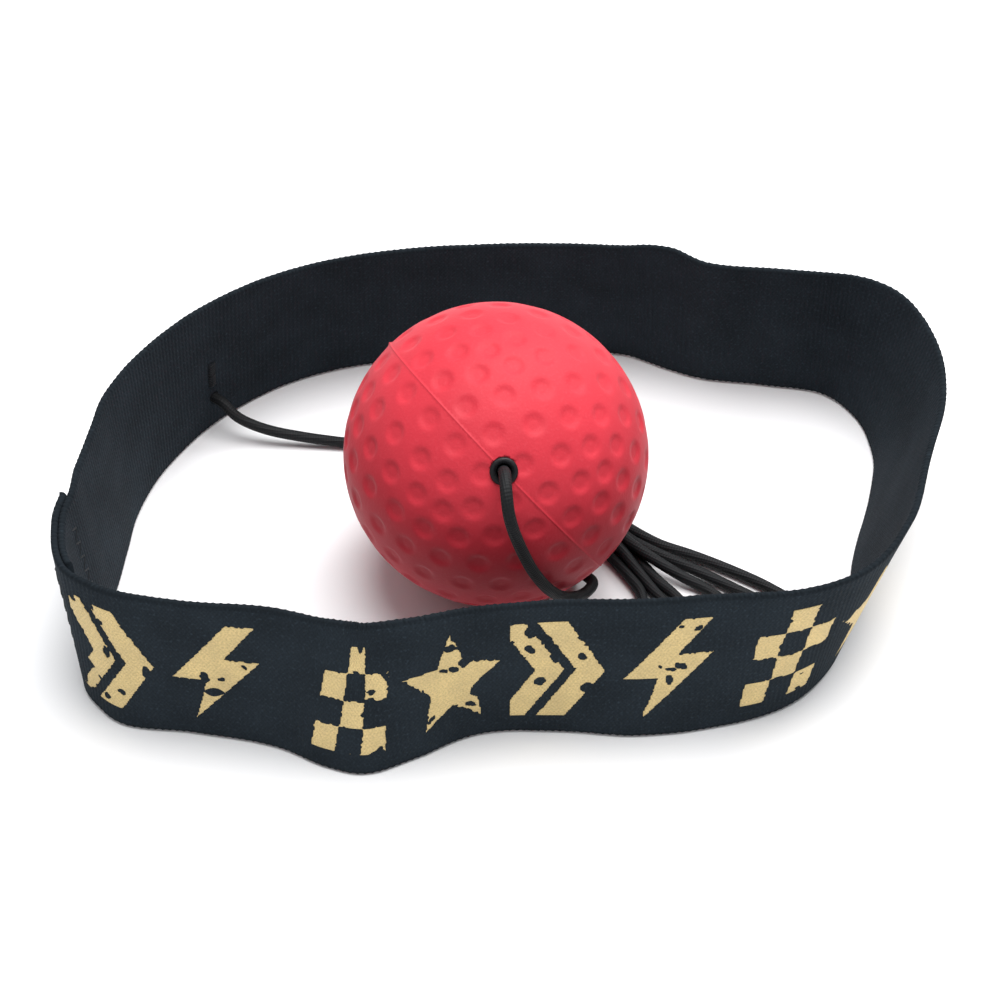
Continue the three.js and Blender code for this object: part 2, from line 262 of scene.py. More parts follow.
class Band:
    """The band's loop, and places on it by the distance round, the height and how far out of its middle."""

    def __init__(self, settings):
        drawn = SmoothLine(STATIONS, closed=True, steps=60)
        sizes = [max(p[k] for p in drawn.points) - min(p[k] for p in drawn.points) for k in (0, 1)]
        stretch = (settings.loop_length / sizes[0], settings.loop_depth / sizes[1], MM)
        fitted = [Vector(s * k for s, k in zip(station, stretch)) for station in STATIONS]
        self.line = SmoothLine(fitted, closed=True, steps=60)
        self.settings = settings
        self.round = self.line.length
        self.layer = (settings.thickness + settings.clearance) / 2
        self.face = settings.thickness / 2

    def side_step(self, distance):
        """The outer end starts outside the inner one, and each steps back to the middle past the lap."""
        ease = self.settings.lap_ease
        outer = 1 - smoothstep((distance - self.settings.lap) / ease)
        inner = smoothstep((distance - (self.round - ease)) / ease)
        return self.layer * (outer - inner)

    def directions(self, distance):
        point = self.line.at(distance)
        along = self.line.tangent(distance)
        along = Vector((along.x, along.y, 0)).normalized()
        out = Vector((along.y, -along.x, 0))
        width = self.settings.width
        rise = math.sqrt(width**2 - point.z**2)
        slope = (out * point.z + UP * rise) / width
        return CONTACT + Vector((point.x, point.y, 0)), along, out, slope

    def at(self, distance, height, outwards):
        bottom, _, out, slope = self.directions(distance)
        return bottom + slope * height + out * outwards


# ---- meshes -------------------------------------------------------------------------------------


def laid_grid(columns, rows, place, mapped):
    """A grid whose corner in each column and row goes where place says, with mapped as its UV, in metres."""
    bm = bmesh.new()
    uv = bm.loops.layers.uv.new("UVMap")
    bmesh.ops.create_grid(bm, x_segments=columns, y_segments=rows, size=1)
    low_x, low_y = min(v.co.x for v in bm.verts), min(v.co.y for v in bm.verts)
    high_x, high_y = max(v.co.x for v in bm.verts), max(v.co.y for v in bm.verts)
    where = {}
    for vert in bm.verts:
        column = round((vert.co.x - low_x) / (high_x - low_x) * columns)
        row = round((vert.co.y - low_y) / (high_y - low_y) * rows)
        where[vert] = (column, row)
    for face in bm.faces:
        for loop in face.loops:
            column, row = where[loop.vert]
            loop[uv].uv = mapped(column, row)
    for vert, (column, row) in where.items():
        vert.co = place(column, row)
    return bm


def close_up(bm):
    """Joins the grid's two long edges, and fills its ends."""
    bmesh.ops.remove_doubles(bm, verts=bm.verts, dist=1e-7)
    open_edges = [edge for edge in bm.edges if edge.is_boundary]
    bmesh.ops.holes_fill(bm, edges=open_edges, sides=0)
    bmesh.ops.recalc_face_normals(bm, faces=bm.faces)


END_SHARE = 0.55  # of its diameter, at the very end of a tapered tube


def tube(line, diameter, sides, step, taper=0):
    """A round tube along a line, and the middles of its rings. Its ends taper over a length of taper."""
    rings = max(2, round(line.length / step))
    middles, sides_out = [], []
    across = None
    for ring in range(rings + 1):
        distance = line.length * ring / rings
        tangent = line.tangent(distance)
        if across is None:
            across = tangent.orthogonal()
        across = (across - tangent * across.dot(tangent)).normalized()
        middles.append(line.at(distance))
        sides_out.append((across.copy(), tangent.cross(across)))

    def place(ring, side):
        angle = 2 * math.pi * side / sides
        from_end = min(ring, rings - ring) * line.length / rings
        swell = 1
        if taper:
            swell = END_SHARE + (1 - END_SHARE) * math.sqrt(min(1, from_end / taper))
        first, second = sides_out[ring]
        return middles[ring] + (first * math.cos(angle) + second * math.sin(angle)) * diameter / 2 * swell

    def mapped(ring, side):
        return line.length * ring / rings, math.pi * diameter * side / sides

    bm = laid_grid(rings, sides, place, mapped)
    close_up(bm)
    return bm, middles


def merge_into(target, source):
    """Adds one bmesh to another."""
    mesh = bpy.data.meshes.new("part")
    source.to_mesh(mesh)
    source.free()
    target.from_mesh(mesh)
    bpy.data.meshes.remove(mesh)


def turn_from_up(direction):
    """A turn that takes +Z to a direction."""
    return UP.rotation_difference(direction).to_matrix().to_4x4()


def drill(middle, direction, radius, depth, sides):
    """A round solid to cut with."""
    bm = bmesh.new()
    bmesh.ops.create_cone(
        bm, cap_ends=True, segments=sides, radius1=radius, radius2=radius, depth=depth,
        matrix=Matrix.Translation(middle) @ turn_from_up(direction),
    )
    return bm


def turned(profile, place, steps):
    """A ring made by spinning a closed profile of (radius, height) about +Z, then laid where place says."""
    bm = bmesh.new()
    corners = [bm.verts.new((radius, 0, height)) for radius, height in profile]
    edges = [bm.edges.new((a, b)) for a, b in zip(corners, corners[1:] + corners[:1])]
    bmesh.ops.spin(
        bm, geom=corners + edges, cent=(0, 0, 0), axis=(0, 0, 1), dvec=(0, 0, 0),
        angle=2 * math.pi, steps=steps, use_merge=True,
    )
    bmesh.ops.remove_doubles(bm, verts=bm.verts, dist=1e-7)
    bmesh.ops.recalc_face_normals(bm, faces=bm.faces)
    bmesh.ops.transform(bm, matrix=place, verts=bm.verts)
    return bm


def rounded_profile(corners, radius, arc_steps=4):
    """A closed outline with its corners rounded; corners are (x, y)."""
    made = []
    for index, corner in enumerate(corners):
        here = Vector(corner)
        before, after = Vector(corners[index - 1]), Vector(corners[(index + 1) % len(corners)])
        cut = min(radius, (before - here).length / 2.2, (after - here).length / 2.2)
        first = here + (before - here).normalized() * cut
        last = here + (after - here).normalized() * cut
        for step in range(arc_steps + 1):
            share = step / arc_steps
            made.append(first.lerp(here, share).lerp(here.lerp(last, share), share))
    return made


def new_object(name, bm, material, smooth=True):
    mesh = bpy.data.meshes.new(name)
    for face in bm.faces:
        face.smooth = smooth
    bm.to_mesh(mesh)
    bm.free()
    piece = bpy.data.objects.new(name, mesh)
    bpy.context.scene.collection.objects.link(piece)
    if material:
        mesh.materials.append(material)
    return piece


def cut(piece, drills):
    """Takes the drills' solids out of a piece for good."""
    cutters = [new_object(f"{piece.name}_cutter_{index}", bm, None) for index, bm in enumerate(drills)]
    for cutter in cutters:
        modifier = piece.modifiers.new("Cut", "BOOLEAN")
        modifier.operation = "DIFFERENCE"
        modifier.solver = "EXACT"
        modifier.object = cutter
    graph = bpy.context.evaluated_depsgraph_get()
    result = bpy.data.meshes.new_from_object(piece.evaluated_get(graph))
    piece.modifiers.clear()
    old, piece.data = piece.data, result
    bpy.data.meshes.remove(old)
    for cutter in cutters:
        bpy.data.objects.remove(cutter)
    piece.data.polygons.foreach_set("use_smooth", [True] * len(piece.data.polygons))


def shown(piece, body, replaces=()):
    """Puts a piece on its body and hides the CAD nodes that it stands for."""
    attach(piece, body)
    if replaces:
        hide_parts(*replaces)
    return piece


# ---- node groups and materials ------------------------------------------------------------------


class Nodes:
    """Adds nodes to a tree and joins them up."""

    def __init__(self, tree):
        self.tree = tree

    def feed(self, socket, value):
        """Joins another node's output to a socket, or gives the socket a plain value."""
        if isinstance(value, bpy.types.NodeSocket):
            self.tree.links.new(value, socket)
        else:
            socket.default_value = value

    def add(self, kind, inputs=None, **values):
        node = self.tree.nodes.new(kind)
        for key, value in values.items():
            setattr(node, key, value)
        for key, value in (inputs or {}).items():
            self.feed(node.inputs[key], value)
        return node

    def math(self, operation, first, second=0.0, third=0.5):
        node = self.add("ShaderNodeMath", {0: first, 1: second, 2: third}, operation=operation)
        return node.outputs[0]

    def blend(self, share, first, second):
        node = self.add("ShaderNodeMix", data_type="RGBA")
        for key, value in (("Factor", share), ("A", first), ("B", second)):
            self.feed(next(s for s in node.inputs if s.name == key and s.enabled), value)
        return next(s for s in node.outputs if s.enabled)


def new_group(name, inputs, outputs):
    """A shader node group with named sockets. Inputs are (name, kind, default)."""
    tree = bpy.data.node_groups.new(name, "ShaderNodeTree")
    for title, kind, default in inputs:
        socket = tree.interface.new_socket(title, in_out="INPUT", socket_type=kind)
        if default is not None:
            socket.default_value = default
    for title, kind in outputs:
        tree.interface.new_socket(title, in_out="OUTPUT", socket_type=kind)
    return tree, Nodes(tree), tree.nodes.new("NodeGroupInput"), tree.nodes.new("NodeGroupOutput")


def weave_group():
    """Two sets of crossing ridges, as in a weave or a braid, and a painted shade that is darkest between them.
    Slant 0 sets them square to the piece.
    """
    number = "NodeSocketFloat"
    tree, nodes, given, made = new_group(
        "Woven Ridges",
        [("Vector", "NodeSocketVector", None), ("Along Pitch", number, 1.0), ("Across Pitch", number, 1.0),
         ("Slant", number, 0.0), ("Unevenness", number, 0.2)],
        [("Height", number), ("Gap Shade", number)],
    )
    parts = nodes.add("ShaderNodeSeparateXYZ", {0: given.outputs["Vector"]})
    uneven = nodes.add("ShaderNodeTexNoise", {"Vector": given.outputs["Vector"], "Scale": 900.0, "Detail": 2.0})
    shift = nodes.math("MULTIPLY", uneven.outputs["Fac"], given.outputs["Unevenness"])
    slanted = nodes.math("MULTIPLY", parts.outputs["Y"], given.outputs["Slant"])
    other = nodes.math("MULTIPLY", parts.outputs["X"], given.outputs["Slant"])
    waves = []
    for value, pitch in (
        (nodes.math("ADD", parts.outputs["X"], slanted), "Along Pitch"),
        (nodes.math("SUBTRACT", parts.outputs["Y"], other), "Across Pitch"),
    ):
        turns = nodes.math("ADD", nodes.math("DIVIDE", value, given.outputs[pitch]), shift)
        waves.append(nodes.math("COSINE", nodes.math("MULTIPLY", turns, 2 * math.pi)))
    crossed = nodes.math("MULTIPLY", waves[0], waves[1])
    height = nodes.math("MULTIPLY_ADD", crossed, 0.5, 0.5)
    # the gap output is painted shade: darkest where the ridges are lowest, between the threads
    gap = nodes.math("POWER", nodes.math("SUBTRACT", 1.0, height), 2.0)
    tree.links.new(height, made.inputs["Height"])
    tree.links.new(gap, made.inputs["Gap Shade"])
    return tree


def mottle_group():
    """Soft blotches and fine specks, for fading, dust and grain."""
    number = "NodeSocketFloat"
    tree, nodes, given, made = new_group(
        "Mottle",
        [("Vector", "NodeSocketVector", None), ("Blotch Size", number, 0.01), ("Speck Size", number, 0.0005)],
        [("Blotch", number), ("Speck", number)],
    )
    for size, title, detail in (("Blotch Size", "Blotch", 4.0), ("Speck Size", "Speck", 2.0)):
        scale = nodes.math("DIVIDE", 1.0, given.outputs[size])
        noise_node = nodes.add(
            "ShaderNodeTexNoise", {"Vector": given.outputs["Vector"], "Scale": scale, "Detail": detail}
        )
        spread = nodes.add(
            "ShaderNodeMapRange", {"Value": noise_node.outputs["Fac"], "From Min": 0.3, "From Max": 0.7}
        )
        tree.links.new(spread.outputs["Result"], made.inputs[title])
    return tree


def shared_group(name):
    makers = {"Woven Ridges": weave_group, "Mottle": mottle_group}
    return bpy.data.node_groups.get(name) or makers[name]()


def start_material(name, coordinates):
    """A material with its Principled shader, and the coordinates that its patterns read."""
    material = bpy.data.materials.new(name)
    material.use_nodes = True
    nodes = Nodes(material.node_tree)
    shader = material.node_tree.nodes["Principled BSDF"]
    source = nodes.add("ShaderNodeTexCoord").outputs[coordinates]
    return material, nodes, shader, source


def put_group(nodes, name, source, **values):
    inputs = {"Vector": source, **{key.replace("_", " ").title(): value for key, value in values.items()}}
    return nodes.add("ShaderNodeGroup", inputs, node_tree=shared_group(name)).outputs


def set_shader(nodes, shader, colour, roughness, height=None, depth=0.0001, **plain):
    """Joins a colour, a roughness and a bump height to the shader, and sets its plain values."""
    nodes.feed(shader.inputs["Base Color"], colour)
    nodes.feed(shader.inputs["Roughness"], roughness)
    if height is not None:
        bump = nodes.add("ShaderNodeBump", {"Height": height, "Distance": depth, "Strength": 1.0})
        nodes.tree.links.new(bump.outputs["Normal"], shader.inputs["Normal"])
    for key, value in plain.items():
        shader.inputs[key.replace("_", " ").title().replace("Ior", "IOR")].default_value = value


def rgba(colour, share=1.0):
    return (*(min(1, c * share) for c in colour), 1)


def band_weave(nodes, source):
    """The elastic's weave, which shows through its print too."""
    return put_group(nodes, "Woven Ridges", source, along_pitch=0.00085, across_pitch=0.0012, unevenness=0.12)


def webbing_material(colour, width):
    material, nodes, shader, source = start_material("webbing", "UV")
    up = nodes.add("ShaderNodeSeparateXYZ", {0: source}).outputs["Y"]
    # Painted shade: the elastic is drawn darker within about a millimetre of its top and bottom edges.
    from_edge = nodes.math("PINGPONG", up, width / 2)
    selvedge_shade = nodes.add(
        "ShaderNodeMapRange", {"Value": from_edge, "From Min": 0.0012, "From Max": 0.0003, "To Max": 0.6}
    ).outputs["Result"]
    weave = band_weave(nodes, source)
    ribs = put_group(nodes, "Woven Ridges", source, along_pitch=0.0011, across_pitch=9.0, unevenness=0.1)
    mottle = put_group(nodes, "Mottle", source, blotch_size=0.012, speck_size=0.0007)
    base = nodes.blend(mottle["Blotch"], rgba(colour, 0.85), rgba(colour, 1.3))
    # painted shade between the weave's threads
    base = nodes.blend(nodes.math("MULTIPLY", weave["Gap Shade"], 0.3), base, rgba(colour, 0.35))
    lint = nodes.math("MULTIPLY", nodes.math("POWER", mottle["Speck"], 5.0), 0.35)
    base = nodes.blend(lint, base, rgba(colour, 3.2))
    # painted shade along both edges
    base = nodes.blend(selvedge_shade, base, rgba(colour, 0.3))
    height = nodes.math("ADD", ribs["Height"], nodes.math("MULTIPLY", weave["Height"], 0.5))
    set_shader(nodes, shader, base, 0.95, height, 0.00012, specular_ior_level=0.12)
    return material


def print_material(colour):
    material, nodes, shader, source = start_material("gold print", "UV")
    weave = band_weave(nodes, source)
    mottle = put_group(nodes, "Mottle", source, blotch_size=0.006, speck_size=0.00045)
    base = nodes.blend(mottle["Blotch"], rgba(colour, 0.9), rgba(colour, 1.12))
    # painted shade between the weave's threads, showing through the ink
    base = nodes.blend(nodes.math("MULTIPLY", weave["Gap Shade"], 0.3), base, rgba(colour, 0.62))
    thin = nodes.math("MULTIPLY", nodes.math("POWER", mottle["Speck"], 1.5), 0.55)
    base = nodes.blend(thin, base, rgba(colour, 0.5))
    roughness = nodes.math("MULTIPLY_ADD", mottle["Blotch"], 0.15, 0.5)
    set_shader(nodes, shader, base, roughness, weave["Height"], 0.00012, specular_ior_level=0.4)
    return material


def cord_material(name, colour, pitch, roughness):
    material, nodes, shader, source = start_material(name, "UV")
    braid = put_group(
        nodes, "Woven Ridges", source, along_pitch=pitch, across_pitch=pitch, slant=0.8, unevenness=0.06
    )
    mottle = put_group(nodes, "Mottle", source, blotch_size=0.015, speck_size=0.0004)
    base = nodes.blend(mottle["Blotch"], rgba(colour, 0.8), rgba(colour, 1.35))
    # painted shade between the braid's strands
    base = nodes.blend(nodes.math("MULTIPLY", braid["Gap Shade"], 0.5), base, rgba(colour, 0.3))
    set_shader(nodes, shader, base, roughness, braid["Height"], 0.0001, specular_ior_level=0.22)
    return material


def foam_material(colour):
    material, nodes, shader, source = start_material("foam", "Object")
    mottle = put_group(nodes, "Mottle", source, blotch_size=0.016, speck_size=0.00055)
    base = nodes.blend(mottle["Blotch"], rgba(colour, 0.93), rgba(colour, 1.05))
    scuff = nodes.math("MULTIPLY", nodes.math("POWER", mottle["Speck"], 4.0), 0.04)
    base = nodes.blend(scuff, base, (1.0, 0.22, 0.27, 1))
    roughness = nodes.math("MULTIPLY_ADD", mottle["Blotch"], 0.1, 0.56)
    set_shader(
        nodes, shader, base, roughness, mottle["Speck"], 0.00002,
        sheen_weight=0.14, sheen_roughness=0.4, sheen_tint=(1.0, 0.55, 0.6, 1), specular_ior_level=0.26,
    )
    return material


def rubber_material(colour):
    material, nodes, shader, source = start_material("grommet rubber", "Object")
    mottle = put_group(nodes, "Mottle", source, blotch_size=0.003, speck_size=0.0003)
    base = nodes.blend(mottle["Blotch"], rgba(colour, 0.8), rgba(colour, 1.4))
    roughness = nodes.math("MULTIPLY_ADD", mottle["Blotch"], 0.15, 0.38)
    set_shader(nodes, shader, base, roughness, mottle["Speck"], 0.00002, specular_ior_level=0.3)
    return material


# ---- the pieces ---------------------------------------------------------------------------------

ANCHOR_BEFORE_LAP = 67.6 * MM  # from the lap back along the loop to the cord's hole
ANCHOR_HEIGHT = 9.6 * MM
BALL_MOUTH = 0.55 * MM  # from the ball's sphere out to the end of the free cord

# How many sides the cord and the thread are drawn with, and how long their steps are.
CORD_SIDES, CORD_STEP = 16, 1.4 * MM
KNOT_SIDES, KNOT_STEP = 12, 0.5 * MM
THREAD_SIDES, ZIGZAG_STEP, BARTACK_STEP = 6, 0.35 * MM, 0.3 * MM


def anchor_place(band):
    """The cord's hole in the band: its middle, the way out of the band, along it and up it."""
    distance = band.round - ANCHOR_BEFORE_LAP
    _, along, _, slope = band.directions(distance)
    out = slope.cross(along)
    if out.dot(band.directions(distance)[2]) < 0:
        out = -out
    return band.at(distance, ANCHOR_HEIGHT, 0), out.normalized(), along, slope


def knot_line(foot, axis, lead):
    """An overhand knot's line: in along the axis from foot, round the knot and out as a short tail."""
    side = axis.orthogonal().normalized()
    other = axis.cross(side)
    turn, rise, middle = 0.66 * MM, 1.0 * MM, lead + 1.9 * MM
    points = [foot, foot + axis * lead * 0.6]
    loops = 20
    for step in range(2, loops - 1):
        t = 2 * math.pi * step / loops
        x = turn * (math.sin(t) + 2 * math.sin(2 * t))
        y = turn * (math.cos(t) - 2 * math.cos(2 * t))
        points.append(foot + side * x + other * y + axis * (middle - rise * math.sin(3 * t)))
    tail = points[-1] - foot - axis * middle
    points.append(foot + axis * (middle + 1.2 * MM) + tail.normalized() * 3.2 * MM)
    points.append(foot + axis * (middle + 2.2 * MM) + tail.normalized() * 5.2 * MM)
    return SmoothLine(points)


def knot_mesh(foot, axis, lead, diameter):
    """A knot pulled tight, which draws its cord a little thinner."""
    bm, _ = tube(knot_line(foot, axis, lead), diameter * 0.94, KNOT_SIDES, KNOT_STEP, taper=0.8 * MM)
    return bm


class OBJECT_OT_reflex_cord(bpy.types.Operator):
    """Adds the free cord, the cord in the ball and the knots at both ends"""

    bl_idname = "object.reflex_cord"
    bl_label = "Add cord"

    def execute(self, context):
        settings = context.scene.reflex_cord
        band = Band(context.scene.reflex_band)
        cord = cord_material("cord", settings.colour, settings.braid_pitch, 0.62)
        diameter = settings.diameter
        hole, out, _, _ = anchor_place(band)
        mouth = BALL_CENTRE + BORE * (BALL_RADIUS + BALL_MOUTH)
        leave = [hole - out * inwards * MM for inwards in (-0.6, 2.2, 4.2)]
        arrive = [mouth + BORE * outwards * MM for outwards in (3.2, 1.2, -2, -4)]
        line = SmoothLine(leave + placed(BAND_RUN + HANK_RUN + BALL_RUN) + arrive)
        bm, middles = tube(line, diameter, CORD_SIDES, CORD_STEP)
        free = new_object("free_cord", bm, cord)
        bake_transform(free)
        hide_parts("cord_in_band", "cord_band_run", "cord_hank_back", "cord_hank_fan", "cord_ball_run")

        knot = knot_mesh(hole, out, 1.9 * MM, diameter)
        anchor = shown(new_object("anchor_overhand_knot", knot, cord), "headband", ["anchor_knot"])

        back = BALL_CENTRE - BORE * (BALL_RADIUS - 1.5 * MM)
        straight = SmoothLine([mouth - BORE * 3.6 * MM, BALL_CENTRE, back])
        bm, _ = tube(straight, diameter, CORD_SIDES, CORD_STEP)
        shown(new_object("cord_through_ball", bm, cord), "cord_end", ["cord_in_ball"])
        knot = knot_mesh(back, -BORE, 3.6 * MM, diameter)
        shown(new_object("end_overhand_knot", knot, cord), "cord_end", ["end_knot"])

        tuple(hole)
        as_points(middles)
        return {"FINISHED"}


# From the lap to the middle of each group's first figure, and from figure to figure, in millimetres.
FIGURES_FROM = (-12, 85.3, 177.8, 272, 367)
FIGURE_PITCH = 22.3
FIGURES_END = 84 * MM  # no figure's middle is nearer than this to the end of the loop
INK_CELL = 0.34 * MM
INK = 0.09 * MM  # how far the ink's sides reach into the band
CHIPS = 14  # in each figure
SEED_STEP, RAGGED_SEED = 7.3, 40  # keep the noise of figures, chips and edges apart


def in_outline(outline, x, y):
    inside = False
    for (x0, y0), (x1, y1) in zip(outline, outline[1:] + outline[:1]):
        if (y0 > y) != (y1 > y) and x < x0 + (y - y0) * (x1 - x0) / (y1 - y0):
            inside = not inside
    return inside


# Printed figures. x runs from -1 to 1 across a figure's width, and y from -1 to 1 up its height.


def bolt_figure(x, y):
    """A bolt of lightning."""
    corners = [(0.3, 1), (-1, -0.16), (-0.22, -0.16), (-0.55, -1), (1, 0.3), (0.2, 0.3), (0.95, 1)]
    return in_outline(corners, x, y)


def star_figure(x, y):
    """A five-pointed star."""
    corners = []
    for k in range(10):
        reach = 1.04 if k % 2 == 0 else 0.47
        corners.append((reach * math.sin(math.pi * k / 5), reach * math.cos(math.pi * k / 5) - 0.06))
    return in_outline(corners, x, y)


def arrow_figure(x, y):
    """Two arrowheads that follow each other."""
    bent = x + 0.8 * abs(y)
    return -0.48 < bent < 0.12 or 0.34 < bent < 0.95


def check_figure(x, y):
    """A leaning chequered patch, three squares wide and four high."""
    leaning = x - 0.18 * y
    half = 0.8
    column, row = math.floor((leaning + half) / 0.534), math.floor((y + 1) / 0.5)
    return abs(leaning) < half and (column + row) % 2 == 0


FIGURES = [
    (check_figure, 20.5 * MM), (star_figure, 21.5 * MM), (arrow_figure, 20 * MM), (bolt_figure, 18.5 * MM),
]


def chips_of(draw, width, height):
    """Places where the ink has flaked off one figure: middle, two half lengths and a turn."""
    chips = []
    for _ in range(CHIPS):
        middle = (draw.uniform(-width, width) / 2, draw.uniform(-height, height) / 2)
        long = draw.uniform(0.5, 1.5) * MM
        chips.append((*middle, long, long * draw.uniform(0.35, 0.8), draw.uniform(0, math.pi)))
    return chips


def flaked(chips, x, y, seed):
    """Says if a place is in one of the chips, whose outlines are uneven."""
    wobble = 1 + 0.75 * noise.noise(Vector((x / (0.8 * MM), y / (0.8 * MM), seed)))
    for cx, cy, long, short, turn in chips:
        dx, dy = x - cx, y - cy
        a = (dx * math.cos(turn) + dy * math.sin(turn)) / long
        b = (dy * math.cos(turn) - dx * math.sin(turn)) / short
        if a * a + b * b < wobble:
            return True
    return False


def printed_figure(band, centre, figure, width, draw, seed):
    """One figure: a flat grid with the bare places taken out, laid on the band's outer face."""
    settings = band.settings
    height = settings.print_height
    columns, rows = round(width / INK_CELL), round(height / INK_CELL)
    chips = chips_of(draw, width, height)
    middle = settings.print_from + height / 2

    def flat(column, row):
        return Vector(((column / columns - 0.5) * width, (row / rows - 0.5) * height, 0))

    def mapped(column, row):
        x, y, _ = flat(column, row)
        return centre + x, middle + y

    bm = laid_grid(columns, rows, flat, mapped)
    bare = []
    for face in bm.faces:
        x, y, _ = face.calc_center_median()
        ragged = 0.35 * MM * noise.noise(Vector((x / (0.7 * MM), y / (0.7 * MM), seed + RAGGED_SEED)))
        inked = figure(2 * (x + ragged) / width, 2 * (y + ragged) / height)
        if not inked or flaked(chips, x, y, seed):
            bare.append(face)
    bmesh.ops.delete(bm, geom=bare, context="FACES")
    edge_verts = [vert for vert in bm.verts if vert.is_boundary]
    axes = {"use_axis_x": True, "use_axis_y": True, "use_axis_z": True}
    for _ in range(2):
        bmesh.ops.smooth_vert(bm, verts=edge_verts, factor=0.5, **axes)
    rim = bmesh.ops.extrude_edge_only(bm, edges=[edge for edge in bm.edges if edge.is_boundary])
    sunk = {item for item in rim["geom"] if isinstance(item, bmesh.types.BMVert)}
    for vert in bm.verts:
        distance, up = centre + vert.co.x, middle + vert.co.y
        outwards = band.side_step(distance) + band.face + (-INK if vert in sunk else INK * 0.6)
        vert.co = band.at(distance, up, outwards)
    return bm


# Along a stitch, as a share of it, and how far its thread then stands off the elastic, in millimetres.
ZIGZAG_BOW = ((0, -0.3), (0.2, -0.05), (0.5, -0.02), (0.8, -0.05))
BARTACK_BOW = ((0, -0.35), (0.25, 0.1), (0.75, 0.1))
BARTACK_PASSES = 26
BARTACK_FROM, BARTACK_LENGTH, BARTACK_WIDTH = 3.6 * MM, 7 * MM, 2.2 * MM


def stitched_zigzag(band, distance, side):
    """A row of zigzag stitches: the thread bows out between its holes and dips into each one."""
    settings = band.settings
    edge = 3 * MM
    surface = band.layer + band.face + (0.1 * MM if side > 0 else 0)
    count = int((settings.width - 2 * edge) / settings.zigzag_pitch)
    points = []
    for stitch in range(count + 1):
        height = edge + stitch * settings.zigzag_pitch
        aside = (stitch % 2 - 0.5) * settings.zigzag_width
        sway = -1 if stitch % 2 else 1
        for share, stand in ZIGZAG_BOW:
            if stitch == count and share:
                break
            across = distance + aside + sway * settings.zigzag_width * share
            up = height + settings.zigzag_pitch * share
            points.append(band.at(across, up, side * (surface + stand * MM)))
    return SmoothLine(points, steps=4)


# The strip's mesh, and how its edges are rounded.
STRIP_STEP = 0.5 * MM
FACE_ROWS = 22
EDGE_RADIUS = 0.6 * MM
SELVEDGE_REACH = 1.6 * MM


